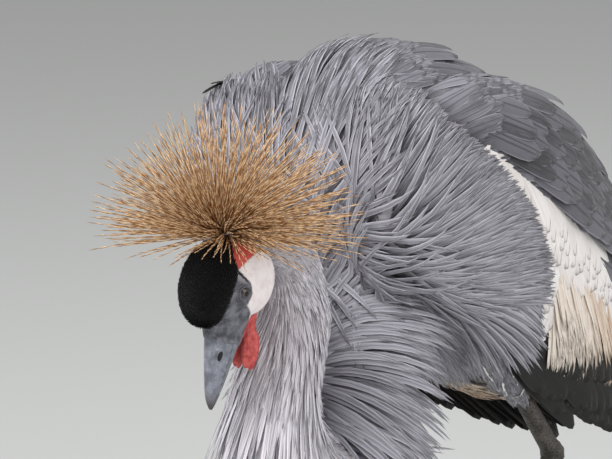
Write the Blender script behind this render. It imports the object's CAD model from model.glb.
"""Looks of a life-size grey crowned crane that bends its head down in front of its breast.

The bird faces -Y, its left side is +X, and the floor is z = 0. All sizes are in metres.
Run the file as a script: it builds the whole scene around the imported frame.
"""

import math
import random

import bmesh
import bpy
import numpy as np
from mathutils import Matrix, Vector
from mathutils.bvhtree import BVHTree


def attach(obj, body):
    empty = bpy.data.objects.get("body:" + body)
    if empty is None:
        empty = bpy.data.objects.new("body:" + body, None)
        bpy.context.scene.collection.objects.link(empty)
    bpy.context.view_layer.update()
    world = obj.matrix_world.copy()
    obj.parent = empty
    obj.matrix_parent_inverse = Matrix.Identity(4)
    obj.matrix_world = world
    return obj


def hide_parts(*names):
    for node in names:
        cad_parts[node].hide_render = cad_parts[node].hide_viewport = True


bl_info = {
    "name": "Grey Crowned Crane",
    "version": (1, 0, 0),
    "blender": (4, 5, 0),
    "location": "3D View > Sidebar > Crane",
    "description": "Builds the skin, plumage, crest, head, legs and studio of a grey crowned crane",
    "category": "Object",
}

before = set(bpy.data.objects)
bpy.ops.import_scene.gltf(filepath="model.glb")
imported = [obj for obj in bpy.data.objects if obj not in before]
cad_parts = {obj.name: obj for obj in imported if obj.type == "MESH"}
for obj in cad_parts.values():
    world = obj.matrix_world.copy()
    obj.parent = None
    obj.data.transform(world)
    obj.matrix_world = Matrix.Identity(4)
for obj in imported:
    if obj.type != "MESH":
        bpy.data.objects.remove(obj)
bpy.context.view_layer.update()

X_AXIS, Y_AXIS, Z_AXIS = Vector((1, 0, 0)), Vector((0, 1, 0)), Vector((0, 0, 1))
SIDES = {"left": 1, "right": -1}
# Moves the whole bird, so that the middle of its box is over the origin
ORIGIN_SHIFT = Vector((-0.008, 0.012, 0))
# How far the skin lies inside the solids' cores, and the smallest half size of one of its rings
SKIN_INSET, SMALLEST = 0.0012, 0.0004

# Torso: y, height of the centre, half width, half depth, in upright slices from breast to rump
TORSO = [
    (-0.172, 0.440, 0.0005, 0.0005),
    (-0.167, 0.440, 0.022, 0.028),
    (-0.150, 0.440, 0.042, 0.056),
    (-0.115, 0.437, 0.062, 0.092),
    (-0.060, 0.428, 0.076, 0.112),
    (0.000, 0.415, 0.082, 0.120),
    (0.060, 0.398, 0.081, 0.116),
    (0.120, 0.376, 0.071, 0.102),
    (0.170, 0.354, 0.055, 0.078),
    (0.215, 0.333, 0.034, 0.046),
    (0.245, 0.320, 0.016, 0.022),
    (0.253, 0.316, 0.0005, 0.0005),
]
# Neck: place along it, centre x, y, z, half width, half depth, from the head to the torso
NECK = [
    (0.00, 0.035, -0.306, 0.418, 0.0205, 0.0205),
    (0.08, 0.038, -0.285, 0.425, 0.0215, 0.0215),
    (0.16, 0.041, -0.262, 0.416, 0.0225, 0.0225),
    (0.25, 0.043, -0.245, 0.392, 0.0235, 0.0235),
    (0.35, 0.044, -0.242, 0.362, 0.0250, 0.0250),
    (0.45, 0.041, -0.252, 0.330, 0.0265, 0.0275),
    (0.54, 0.038, -0.260, 0.298, 0.0290, 0.0305),
    (0.63, 0.037, -0.253, 0.264, 0.0320, 0.0335),
    (0.71, 0.035, -0.228, 0.240, 0.0350, 0.0355),
    (0.78, 0.030, -0.196, 0.237, 0.0380, 0.0375),
    (0.85, 0.023, -0.168, 0.256, 0.0410, 0.0400),
    (0.92, 0.012, -0.140, 0.302, 0.0450, 0.0440),
    (1.00, 0.000, -0.108, 0.365, 0.0500, 0.0480),
]
# Wing: y, centre x, centre z, half thickness, half depth of the folded arm and its coverts
WING = [
    (-0.168, 0.074, 0.440, 0.0005, 0.0005),
    (-0.162, 0.076, 0.441, 0.011, 0.030),
    (-0.135, 0.079, 0.441, 0.023, 0.064),
    (-0.090, 0.081, 0.434, 0.027, 0.084),
    (-0.030, 0.081, 0.420, 0.028, 0.098),
    (0.040, 0.079, 0.400, 0.028, 0.104),
    (0.100, 0.074, 0.378, 0.026, 0.104),
    (0.160, 0.066, 0.350, 0.022, 0.098),
    (0.220, 0.057, 0.318, 0.018, 0.088),
    (0.280, 0.047, 0.284, 0.013, 0.074),
    (0.330, 0.040, 0.254, 0.009, 0.055),
    (0.365, 0.036, 0.232, 0.005, 0.034),
    (0.375, 0.034, 0.226, 0.0005, 0.0005),
]
# Rounding over the joint between the breast and each folded wing, as its centre and half sizes
SHOULDER_AT, SHOULDER_HALF = Vector((0.054, -0.118, 0.440)), Vector((0.032, 0.044, 0.078))

# Head frame: the skull's centre, how far it turns to the bird's right and how far the bill points down
HEAD_AT = Vector((0.034, -0.3266, 0.397))
HEAD_TURN, HEAD_PITCH = math.radians(15), math.radians(70)
# Skull: forward place, centre height, half width, half depth in the head's own frame
SKULL = [
    (-0.0400, -0.003, 0.0005, 0.0005),
    (-0.0385, -0.003, 0.0080, 0.0085),
    (-0.0320, -0.003, 0.0165, 0.0175),
    (-0.0200, -0.003, 0.0228, 0.0240),
    (-0.0050, -0.003, 0.0250, 0.0268),
    (0.0100, -0.005, 0.0238, 0.0252),
    (0.0220, -0.008, 0.0185, 0.0205),
    (0.0340, -0.0105, 0.0112, 0.0142),
]
# Where the face runs out over the root of the bill, in the same columns
SKULL_FRONT = [
    (0.0300, -0.0096, 0.0150, 0.0180),
    (0.0370, -0.0114, 0.0136, 0.0166),
    (0.0420, -0.0122, 0.0124, 0.0150),
    (0.0450, -0.0126, 0.0103, 0.0126),
]
# Swollen cap, left cheek, mound round the left eye and its eyeball, in the head's own frame
CAP_AT, CAP_HALF = Vector((0.004, 0, 0.0125)), Vector((0.0335, 0.0245, 0.0205))
CHEEK_AT, CHEEK_HALF = Vector((-0.0050, 0.0160, -0.0120)), Vector((0.0250, 0.0100, 0.0210))
LID_MOUND = Vector((0.0094, 0.0056, 0.0082))
EYE_AT, EYE_R = Vector((0.0050, 0.0192, -0.0010)), 0.0066
IRIS_R = 0.0049  # the pupil is a bit more than a third of it

# Markings of the left side of the head, as forward and crown places in the head's own frame
WHITE_PATCH = [
    (-0.0095, 0.0094), (-0.0188, 0.0026), (-0.0269, -0.0060), (-0.0290, -0.0180), (-0.0220, -0.0300),
    (-0.0060, -0.0380), (0.0130, -0.0400), (0.0240, -0.0360), (0.0285, -0.0310), (0.0205, -0.0195),
    (0.0133, -0.0070), (0.0040, -0.0068), (-0.0030, -0.0026),
]
RED_PATCH = [
    (-0.0310, 0.0125), (-0.0325, 0.0040), (-0.0330, -0.0044), (-0.0272, -0.0060),
    (-0.0188, 0.0026), (-0.0100, 0.0092), (-0.0156, 0.0140), (-0.0233, 0.0140),
]
# Lower edge of the velvet cap, in the same places
CAP_EDGE = [
    (-0.0400, 0.0125), (-0.0160, 0.0150), (-0.0050, 0.0100),
    (0.0080, 0.0120), (0.0180, 0.0115), (0.0310, 0.0085),
]
CAP_TIP = 0.0390  # forward place where the velvet cap ends in a point on the bill
BORDER = 0.0022  # width of the black line round the white patch
MARK_SOFT = 0.0007  # width over which the markings blend into each other
NAPE_FRONT = 0.006  # forward place past which the white patch has no black line
FACE_BACK = -0.004  # forward place where the slate face starts

# Bill: forward place, gape height, half width, depth of the upper half, depth of the lower half
BILL = [
    (0.0300, -0.0118, 0.0110, 0.0145, 0.0110),
    (0.0380, -0.0127, 0.0124, 0.0160, 0.0126),
    (0.0460, -0.0136, 0.0114, 0.0152, 0.0114),
    (0.0580, -0.0149, 0.0097, 0.0128, 0.0087),
    (0.0700, -0.0162, 0.0075, 0.0104, 0.0064),
    (0.0810, -0.0172, 0.0050, 0.0076, 0.0044),
    (0.0880, -0.0180, 0.0030, 0.0048, 0.0026),
    (0.0925, -0.0188, 0.0009, 0.0014, 0.0009),
]
# Nostril, left hanging lobe and the fold between both, as centres and half sizes
NOSTRIL_AT, NOSTRIL_HALF = Vector((0.0530, 0.0086, -0.0078)), Vector((0.0044, 0.0022, 0.0013))
LOBE_AT, LOBE_HALF = Vector((0.0380, 0.0050, -0.0368)), Vector((0.0185, 0.0046, 0.0095))
FOLD_AT, FOLD_HALF = Vector((0.0220, 0, -0.0310)), Vector((0.0160, 0.0072, 0.0085))
# Nostril groove: how far round the bill it lies, in radians above the gape, and its depth and its hole's
GROOVE_TURN, GROOVE_DEPTH, HOLE_DEPTH = 0.62, 0.0012, 0.0030

# Legs: knee inside the body, hock and foot joint, each as outward x, y, z
LEGS = {
    "left": (Vector((0.050, 0.020, 0.335)), Vector((0.060, 0.147, 0.191)), Vector((0.061, 0.085, 0.020))),
    "right": (Vector((0.050, -0.020, 0.330)), Vector((0.053, 0.085, 0.193)), Vector((0.054, 0.005, 0.020))),
}
# Radii of the thigh at its top and end, and of the shank, hock and tarsus
THIGH_TOP_R, THIGH_END_R, SHANK_R, HOCK_R, TARSUS_R = 0.034, 0.0135, 0.0062, 0.0098, 0.0052
THIGH_SHARE = 0.52  # share of the way from the knee to the hock that the thigh takes
# Front toes: turn outwards, length, radius
TOES = [(0.0, 0.086, 0.0066), (0.50, 0.066, 0.0060), (-0.50, 0.064, 0.0060)]
HIND_TOE_LENGTH = 0.022
CLAW_LENGTH, CLAW_R = 0.013, 0.0026

# Camera: it looks at the target from this far, to the bird's front left
CAMERA_TARGET = Vector((-0.06296, -0.03840, 0.38877))
CAMERA_EYE = Vector((2.15934, -3.88754, 1.09272))
CAMERA_LENS = 337.5

PATCH = 0.003  # size on the baked map of one feather's patch


def srgb(red, green, blue):
    """A linear colour from the eight-bit values of a colour as the eye sees it."""
    found = []
    for level in (red, green, blue):
        share = level / 255
        found.append(share / 12.92 if share <= 0.04045 else ((share + 0.055) / 1.055) ** 2.4)
    return tuple(found)


# Shared shapes


def clamped(value):
    """The value, held between 0 and 1."""
    return min(1.0, max(0.0, value))


def row_at(table, key):
    """The table's other columns at a value of its first one, on a smooth curve through the rows."""
    keys = [row[0] for row in table]
    key = min(max(key, keys[0]), keys[-1])
    i = max(0, min(sum(k <= key for k in keys) - 1, len(keys) - 2))
    span = keys[i + 1] - keys[i]
    f = (key - keys[i]) / span

    def slope(k, column):
        low, high = max(0, k - 1), min(len(table) - 1, k + 1)
        return (table[high][column] - table[low][column]) / (keys[high] - keys[low])

    found = []
    for column in range(1, len(table[0])):
        a, b = table[i][column], table[i + 1][column]
        m, n = slope(i, column) * span, slope(i + 1, column) * span
        found.append(
            a * (2 * f**3 - 3 * f**2 + 1)
            + m * (f**3 - 2 * f**2 + f)
            + b * (3 * f**2 - 2 * f**3)
            + n * (f**3 - f**2)
        )
    return found


def ring_matrix(centre, side, up, ahead):
    """Places a unit circle at the centre, with its radii along side and up."""
    placed = Matrix((side, up, ahead)).transposed().to_4x4()
    placed.translation = centre
    return placed


def sweep(mesh, rings, segments=32):
    """Extrudes a circle through the ring matrices and closes both ends."""
    start = bmesh.ops.create_circle(mesh, segments=segments, radius=1, matrix=rings[0])["verts"]
    edges = list({edge for vertex in start for edge in vertex.link_edges})
    first_edges, made_verts = edges, list(start)
    for before, after in zip(rings, rings[1:]):
        made = bmesh.ops.extrude_edge_only(mesh, edges=edges)["geom"]
        verts = [item for item in made if isinstance(item, bmesh.types.BMVert)]
        bmesh.ops.transform(mesh, matrix=after @ before.inverted(), verts=verts)
        edges = [
            item for item in made
            if isinstance(item, bmesh.types.BMEdge) and all(v in verts for v in item.verts)
        ]
        made_verts += verts
    for rim in (first_edges, edges):
        bmesh.ops.edgeloop_fill(mesh, edges=rim)
    bmesh.ops.recalc_face_normals(mesh, faces=mesh.faces)
    return made_verts


def ellipsoid(mesh, centre, half, pose, segments=32, rings=20):
    """Adds a ball with those half sizes, placed in the frame of the pose."""
    place = pose @ Matrix.Translation(centre) @ Matrix.Diagonal((*half, 1))
    bmesh.ops.create_uvsphere(mesh, u_segments=segments, v_segments=rings, radius=1, matrix=place)


def new_piece(name, mesh):
    """The bmesh as an object at the origin, with smooth faces."""
    data = bpy.data.meshes.new(name)
    mesh.to_mesh(data)
    mesh.free()
    data.shade_smooth()
    made = bpy.data.objects.new(name, data)
    bpy.context.scene.collection.objects.link(made)
    return made


def store(data, key, values):
    """Stores a number for each vertex of the mesh, which its finish reads."""
    data.attributes.new(key, "FLOAT", "POINT").data.foreach_set("value", values.astype(np.float32))


def points_of(piece, kind="co"):
    """Places or normals of the piece's vertices, as an array."""
    found = np.empty(len(piece.data.vertices) * 3, np.float32)
    piece.data.vertices.foreach_get(kind, found)
    return found.reshape(-1, 3).astype(float)


def fused(piece, voxel, rounds, strength=0.5):
    """Fuses the piece's closed shells into one surface and smooths it."""
    change = piece.modifiers.new("fuse", "REMESH")
    change.mode = "VOXEL"
    change.voxel_size = voxel
    if rounds:
        ease = piece.modifiers.new("ease", "SMOOTH")
        ease.iterations, ease.factor = rounds, strength
    graph = bpy.context.evaluated_depsgraph_get()
    made = bpy.data.meshes.new_from_object(piece.evaluated_get(graph))
    piece.modifiers.clear()
    piece.data = made
    made.shade_smooth()
    return piece


def tree_of(piece):
    """A search tree over the piece's faces."""
    points = [vertex.co.copy() for vertex in piece.data.vertices]
    return BVHTree.FromPolygons(points, [list(face.vertices) for face in piece.data.polygons])


def finish_piece(piece, material, nodes):
    """Gives the piece its material and names the solids that it stands for."""
    piece.data.materials.clear()
    piece.data.materials.append(material)
    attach(piece, "root")
    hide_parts(*nodes)
    return piece


def head_pose():
    """Head frame: +X forward along the bill, +Y to the bird's left, +Z to the crown."""
    forward = Vector(
        (
            -math.sin(HEAD_TURN) * math.cos(HEAD_PITCH),
            -math.cos(HEAD_TURN) * math.cos(HEAD_PITCH),
            -math.sin(HEAD_PITCH),
        )
    )
    left = Vector((math.cos(HEAD_TURN), -math.sin(HEAD_TURN), 0))
    crown = forward.cross(left)
    turned = Matrix((forward, left, crown)).transposed().to_4x4()
    return Matrix.Translation(HEAD_AT + ORIGIN_SHIFT) @ turned


HEAD = head_pose()


def mirrored(point, side):
    """A place of the head's left half, taken to the given side."""
    return Vector((point.x, point.y * side, point.z))


def outward(point, side):
    """A place of the left half of the body, taken to the given side."""
    return Vector((point.x * side, point.y, point.z)) + ORIGIN_SHIFT


def torso_point(y, turn, rise=0.0):
    """A point over the torso's surface, where turn 0 is the back and a quarter turn is the bird's left."""
    z, width, depth = row_at(TORSO, y)
    return Vector(((width + rise) * math.sin(turn), y, z + (depth + rise) * math.cos(turn))) + ORIGIN_SHIFT


def wing_point(side, y, turn, rise=0.0):
    """A point over a folded wing, where turn 0 is its upper edge and a quarter turn is its outer face."""
    x, z, width, depth = row_at(WING, y)
    place = Vector((side * (x + (width + rise) * math.sin(turn)), y, z + (depth + rise) * math.cos(turn)))
    return place + ORIGIN_SHIFT


def neck_frame(place):
    """Centre, ways towards the tail, the left and the nape, and half sizes of the neck there."""
    x, y, z, width, depth = row_at(NECK, place)
    step = 0.01
    ahead = Vector(row_at(NECK, min(1, place + step))[:3]) - Vector(row_at(NECK, max(0, place - step))[:3])
    ahead.normalize()
    across = (X_AXIS - ahead * ahead.x).normalized()
    return Vector((x, y, z)) + ORIGIN_SHIFT, ahead, across, across.cross(ahead), width, depth


def refined(places):
    """The places with one more between each two."""
    middles = [(low + high) / 2 for low, high in zip(places, places[1:])]
    return sorted(places + middles)


def round_ring(centre, ahead, radius):
    """Places a round ring that stands across the direction ahead."""
    side = ahead.cross(X_AXIS if abs(ahead.x) < 0.8 else Z_AXIS).normalized()
    up = side.cross(ahead)
    return ring_matrix(centre, side * radius, up * radius, side.cross(up))


def thigh_radius(share):
    """Radius of the feathered thigh at a share of its length."""
    return THIGH_TOP_R + (THIGH_END_R - THIGH_TOP_R) * share**0.8


# Materials


class Recipe:
    """A material's node tree, with short ways to add and join nodes."""

    def __init__(self, name, roughness=0.6, **constants):
        self.material = bpy.data.materials.new(name)
        self.material.use_nodes = True
        self.tree = self.material.node_tree
        self.shader = self.tree.nodes["Principled BSDF"]
        self.shader.inputs["Roughness"].default_value = roughness
        for socket, value in constants.items():
            self.shader.inputs[socket.replace("_", " ")].default_value = value

    def add(self, kind, **settings):
        made = self.tree.nodes.new(kind)
        for key, value in settings.items():
            setattr(made, key, value)
        return made

    def join(self, source, target):
        self.tree.links.new(source, target)

    def attribute(self, name):
        return self.add("ShaderNodeAttribute", attribute_name=name).outputs["Fac"]

    def math(self, operation, first, second=0.0, third=0.0):
        made = self.add("ShaderNodeMath", operation=operation)
        for socket, value in zip(made.inputs, (first, second, third)):
            if isinstance(value, (int, float)):
                socket.default_value = value
            else:
                self.join(value, socket)
        return made.outputs[0]

    def ramp(self, value, low, high, out_low=0.0, out_high=1.0):
        """A smooth step of the value from one level to another."""
        made = self.add("ShaderNodeMapRange", interpolation_type="SMOOTHSTEP")
        self.join(value, made.inputs["Value"])
        numbers = {"From Min": low, "From Max": high, "To Min": out_low, "To Max": out_high}
        for socket, number in numbers.items():
            made.inputs[socket].default_value = number
        return made.outputs["Result"]

    def mix(self, share, first, second, blend="MIX"):
        made = self.add("ShaderNodeMix", data_type="RGBA", blend_type=blend)
        colours = [socket for socket in made.inputs if socket.type == "RGBA"]
        for socket, value in zip((made.inputs[0], *colours), (share, first, second)):
            if isinstance(value, (int, float)):
                socket.default_value = value
            elif isinstance(value, tuple):
                socket.default_value = (*value, 1)
            else:
                self.join(value, socket)
        return [socket for socket in made.outputs if socket.type == "RGBA"][0]

    def object_place(self):
        return self.add("ShaderNodeTexCoord").outputs["Object"]

    def noise(self, vector, scale, detail=3.0, roughness=0.6):
        made = self.add("ShaderNodeTexNoise")
        self.join(vector, made.inputs["Vector"])
        made.inputs["Scale"].default_value = scale
        made.inputs["Detail"].default_value = detail
        made.inputs["Roughness"].default_value = roughness
        return made.outputs["Fac"]

    def bump(self, height, strength, distance):
        made = self.add("ShaderNodeBump")
        made.inputs["Strength"].default_value = strength
        made.inputs["Distance"].default_value = distance
        self.join(height, made.inputs["Height"])
        self.join(made.outputs["Normal"], self.shader.inputs["Normal"])

    def colour(self, value):
        if isinstance(value, tuple):
            self.shader.inputs["Base Color"].default_value = (*value, 1)
        else:
            self.join(value, self.shader.inputs["Base Color"])
        return self.material


# Each plumage's look: colours of the dark and the light barbs, the edge and the shaft, how many streaks
# run beside the shaft, where the edge begins and how far the root is shaded
PLUMAGE_LOOKS = {
    "strap_grey": ((84, 83, 89), (162, 160, 169), (198, 196, 205), (72, 71, 77), 5.0, 0.5, 0.9),
    "mantle_grey": ((84, 83, 90), (130, 128, 137), (168, 166, 175), (60, 59, 64), 11.0, 0.78, 0.6),
    "belly_grey": ((104, 103, 110), (168, 166, 174), (196, 194, 202), (100, 99, 106), 7.0, 0.5, 0.6),
    "thigh_grey": ((92, 91, 98), (150, 148, 156), (176, 174, 182), (90, 89, 95), 7.0, 0.5, 0.5),
    "neck_grey": ((150, 146, 152), (196, 191, 197), (212, 208, 213), (152, 148, 154), 5.0, 0.5, 0.3),
    "hackle_lilac": ((134, 130, 137), (214, 209, 216), (238, 234, 241), (128, 125, 132), 6.0, 0.45, 0.5),
    "scapular_slate": ((56, 55, 60), (104, 102, 110), (134, 132, 140), (42, 41, 45), 15.0, 0.85, 0.5),
    "covert_white": ((226, 218, 215), (243, 238, 236), (246, 242, 240), (232, 224, 220), 15.0, 0.8, 0.0),
    "plume_straw": ((196, 160, 124), (240, 230, 220), (246, 236, 224), (188, 160, 134), 4.0, 0.5, 0.15),
    "primary_black": ((11, 10, 10), (26, 23, 22), (38, 34, 33), (8, 7, 7), 15.0, 0.85, 0.4),
    "secondary_chestnut": ((84, 48, 32), (132, 80, 54), (140, 92, 66), (52, 32, 24), 15.0, 0.85, 0.4),
}


def feather_finish(name, roughness=0.62, sheen=0.12):
    """A vane's finish: barbs that run out from a shaft, a paler edge and a shaded root."""
    known = bpy.data.materials.get(name)
    if known:
        return known
    *colours, streaks, edge_from, root_dark = PLUMAGE_LOOKS[name]
    dark, light, edge, shaft = (srgb(*levels) for levels in colours)
    recipe = Recipe(name, roughness, Sheen_Weight=sheen, Sheen_Roughness=0.5, Specular_IOR_Level=0.3)
    across, along, tone = (recipe.attribute(key) for key in ("across", "along", "tone"))
    beside = recipe.math("ABSOLUTE", across)
    spread = recipe.add("ShaderNodeCombineXYZ")
    recipe.join(recipe.math("MULTIPLY", across, streaks), spread.inputs["X"])
    slant = recipe.math("SUBTRACT", recipe.math("MULTIPLY", along, 5.0), beside)
    recipe.join(slant, spread.inputs["Y"])
    recipe.join(recipe.math("MULTIPLY", tone, 37.0), spread.inputs["Z"])
    barbs = recipe.noise(spread.outputs[0], 1.0, 4.0, 0.65)
    patches = recipe.noise(recipe.object_place(), 16.0, 2.0)
    share = recipe.math("ADD", recipe.math("MULTIPLY", barbs, 0.9), recipe.math("MULTIPLY", patches, 0.5))
    share = recipe.math("ADD", share, recipe.math("MULTIPLY", tone, 0.5))
    body = recipe.mix(recipe.ramp(share, 0.60, 1.15), dark, light)
    rim = recipe.math("MULTIPLY", recipe.ramp(beside, edge_from, 0.98), recipe.ramp(along, 0.15, 0.7))
    body = recipe.mix(rim, body, edge)
    quill = recipe.math("MULTIPLY", recipe.ramp(beside, 0.03, 0.16, 1.0, 0.0), 0.7)
    body = recipe.mix(quill, body, shaft)
    shade = recipe.ramp(along, 0.0, 0.45, root_dark, 0.0)
    body = recipe.mix(shade, body, tuple(level * 0.12 for level in dark))
    recipe.bump(barbs, 0.35, 0.0006)
    return recipe.colour(body)


def bristle_finish():
    """Straw bristles, pale on one side and brown on the other, so that their twist shows as bands."""
    recipe = Recipe("crest_straw", 0.5)
    across, along, tone = (recipe.attribute(key) for key in ("across", "along", "tone"))
    warm = recipe.mix(tone, srgb(200, 154, 106), srgb(230, 192, 146))
    body = recipe.mix(recipe.ramp(across, -0.4, 0.3), srgb(142, 98, 58), warm)
    body = recipe.mix(recipe.ramp(across, 0.35, 0.95), body, srgb(246, 222, 184))
    body = recipe.mix(recipe.ramp(along, 0.0, 0.4, 0.7, 0.0), body, srgb(140, 92, 56))
    return recipe.colour(body)


def velvet_finish():
    """Black plush, which takes its texture from its tufts."""
    recipe = Recipe("velvet_black", 0.9, Sheen_Weight=0.12, Sheen_Roughness=0.4, Specular_IOR_Level=0.15)
    return recipe.colour(srgb(14, 13, 15))


def skin_finish():
    """Bare skin and down: grey under the plumage, slate on the face, white cheek and red patch."""
    recipe = Recipe("crane_skin", 0.55, Specular_IOR_Level=0.35)
    place = recipe.object_place()
    fine, broad = recipe.noise(place, 900.0, 3.0), recipe.noise(place, 160.0, 3.0)
    body = recipe.mix(broad, srgb(132, 129, 135), srgb(160, 157, 163))
    slate = recipe.mix(recipe.ramp(broad, 0.35, 0.7), srgb(70, 70, 77), srgb(120, 120, 128))
    body = recipe.mix(recipe.attribute("slate"), body, slate)
    black = recipe.mix(fine, srgb(10, 9, 11), srgb(22, 21, 24))
    body = recipe.mix(recipe.attribute("black"), body, black)
    white = recipe.mix(recipe.ramp(broad, 0.3, 0.8), srgb(236, 229, 229), srgb(222, 208, 208))
    body = recipe.mix(recipe.attribute("white"), body, white)
    red = recipe.mix(broad, srgb(190, 62, 56), srgb(214, 92, 84))
    body = recipe.mix(recipe.attribute("red"), body, red)
    recipe.bump(recipe.math("ADD", fine, broad), 0.25, 0.0004)
    return recipe.colour(body)


def horn_finish():
    """Bill horn: slate with pale worn patches and fine growth lines."""
    recipe = Recipe("bill_slate", 0.42, Coat_Weight=0.15, Coat_Roughness=0.3)
    place = recipe.object_place()
    broad, fine = recipe.noise(place, 110.0, 4.0, 0.7), recipe.noise(place, 700.0, 2.0)
    body = recipe.mix(recipe.ramp(broad, 0.30, 0.62), srgb(84, 86, 95), srgb(126, 129, 140))
    body = recipe.mix(recipe.ramp(broad, 0.60, 0.72), body, srgb(186, 186, 194))
    body = recipe.mix(recipe.ramp(recipe.attribute("tip"), 0.78, 1.0), body, srgb(66, 56, 54))
    body = recipe.mix(recipe.ramp(fine, 0.62, 0.75, 0.0, 0.5), body, srgb(70, 70, 76))
    recipe.bump(recipe.math("ADD", recipe.math("MULTIPLY", fine, 0.4), broad), 0.3, 0.0006)
    return recipe.colour(body)


def wattle_finish():
    """Red skin with small folds and darker hollows."""
    recipe = Recipe("wattle_red", 0.42, Subsurface_Weight=0.12, Subsurface_Scale=0.003)
    place = recipe.object_place()
    broad, fine = recipe.noise(place, 240.0, 3.0), recipe.noise(place, 1400.0, 2.0)
    body = recipe.mix(recipe.ramp(broad, 0.3, 0.75), srgb(160, 46, 46), srgb(214, 98, 92))
    recipe.bump(recipe.math("ADD", fine, broad), 0.4, 0.0006)
    return recipe.colour(body)


def eye_finish():
    """A grey-brown iris round a dark pupil, under a glossy clear coat."""
    recipe = Recipe("eye_grey", 0.22, Coat_Weight=0.35, Coat_Roughness=0.05, Specular_IOR_Level=0.3)
    from_gaze = recipe.attribute("gaze")
    fibres = recipe.noise(recipe.object_place(), 1500.0, 3.0)
    iris = recipe.mix(fibres, srgb(54, 49, 51), srgb(88, 80, 80))
    iris = recipe.mix(recipe.ramp(from_gaze, 0.55, 0.95), iris, srgb(42, 36, 36))
    body = recipe.mix(recipe.ramp(from_gaze, 0.38, 0.43), srgb(3, 3, 3), iris)
    body = recipe.mix(recipe.ramp(from_gaze, 0.94, 1.02), body, srgb(30, 28, 30))
    return recipe.colour(body)


def lid_finish():
    """Grained slate skin of the lids."""
    recipe = Recipe("lid_slate", 0.5)
    broad = recipe.noise(recipe.object_place(), 700.0, 3.0)
    recipe.bump(broad, 0.3, 0.0003)
    return recipe.colour(recipe.mix(broad, srgb(62, 61, 67), srgb(112, 112, 119)))


def leg_finish():
    """Scaly grey-black leg skin, with small plates drawn in relief."""
    recipe = Recipe("leg_grey", 0.5)
    place = recipe.object_place()
    cells = recipe.add("ShaderNodeTexVoronoi", feature="DISTANCE_TO_EDGE")
    recipe.join(place, cells.inputs["Vector"])
    cells.inputs["Scale"].default_value = 420.0
    edge = recipe.ramp(cells.outputs["Distance"], 0.0, 0.12)
    broad = recipe.noise(place, 60.0, 3.0)
    plate = recipe.mix(recipe.ramp(broad, 0.3, 0.7), srgb(52, 47, 43), srgb(96, 88, 82))
    recipe.bump(edge, 0.5, 0.0005)
    return recipe.colour(recipe.mix(edge, srgb(24, 21, 20), plate))


def claw_finish():
    """Dark horn with paler streaks."""
    recipe = Recipe("claw_horn", 0.35)
    broad = recipe.noise(recipe.object_place(), 300.0, 3.0)
    return recipe.colour(recipe.mix(broad, srgb(24, 22, 21), srgb(58, 53, 50)))


# Feathers as joined meshes


# Outlines of a vane: shares of its length, and the share of its half width at each
BLADE = ((0.0, 0.12, 0.26, 0.42, 0.60, 0.76, 0.90, 1.0), (0.45, 0.80, 0.98, 1.0, 0.90, 0.68, 0.36, 0.0))
ROUND = ((0.0, 0.14, 0.32, 0.52, 0.72, 0.86, 0.95, 1.0), (0.35, 0.72, 0.95, 1.0, 0.97, 0.84, 0.55, 0.0))
SHORT = ((0.0, 0.25, 0.55, 0.80, 1.0), (0.55, 1.0, 0.95, 0.65, 0.0))
WIDEST = 0.134  # no feather stands further to a side than this


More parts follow.
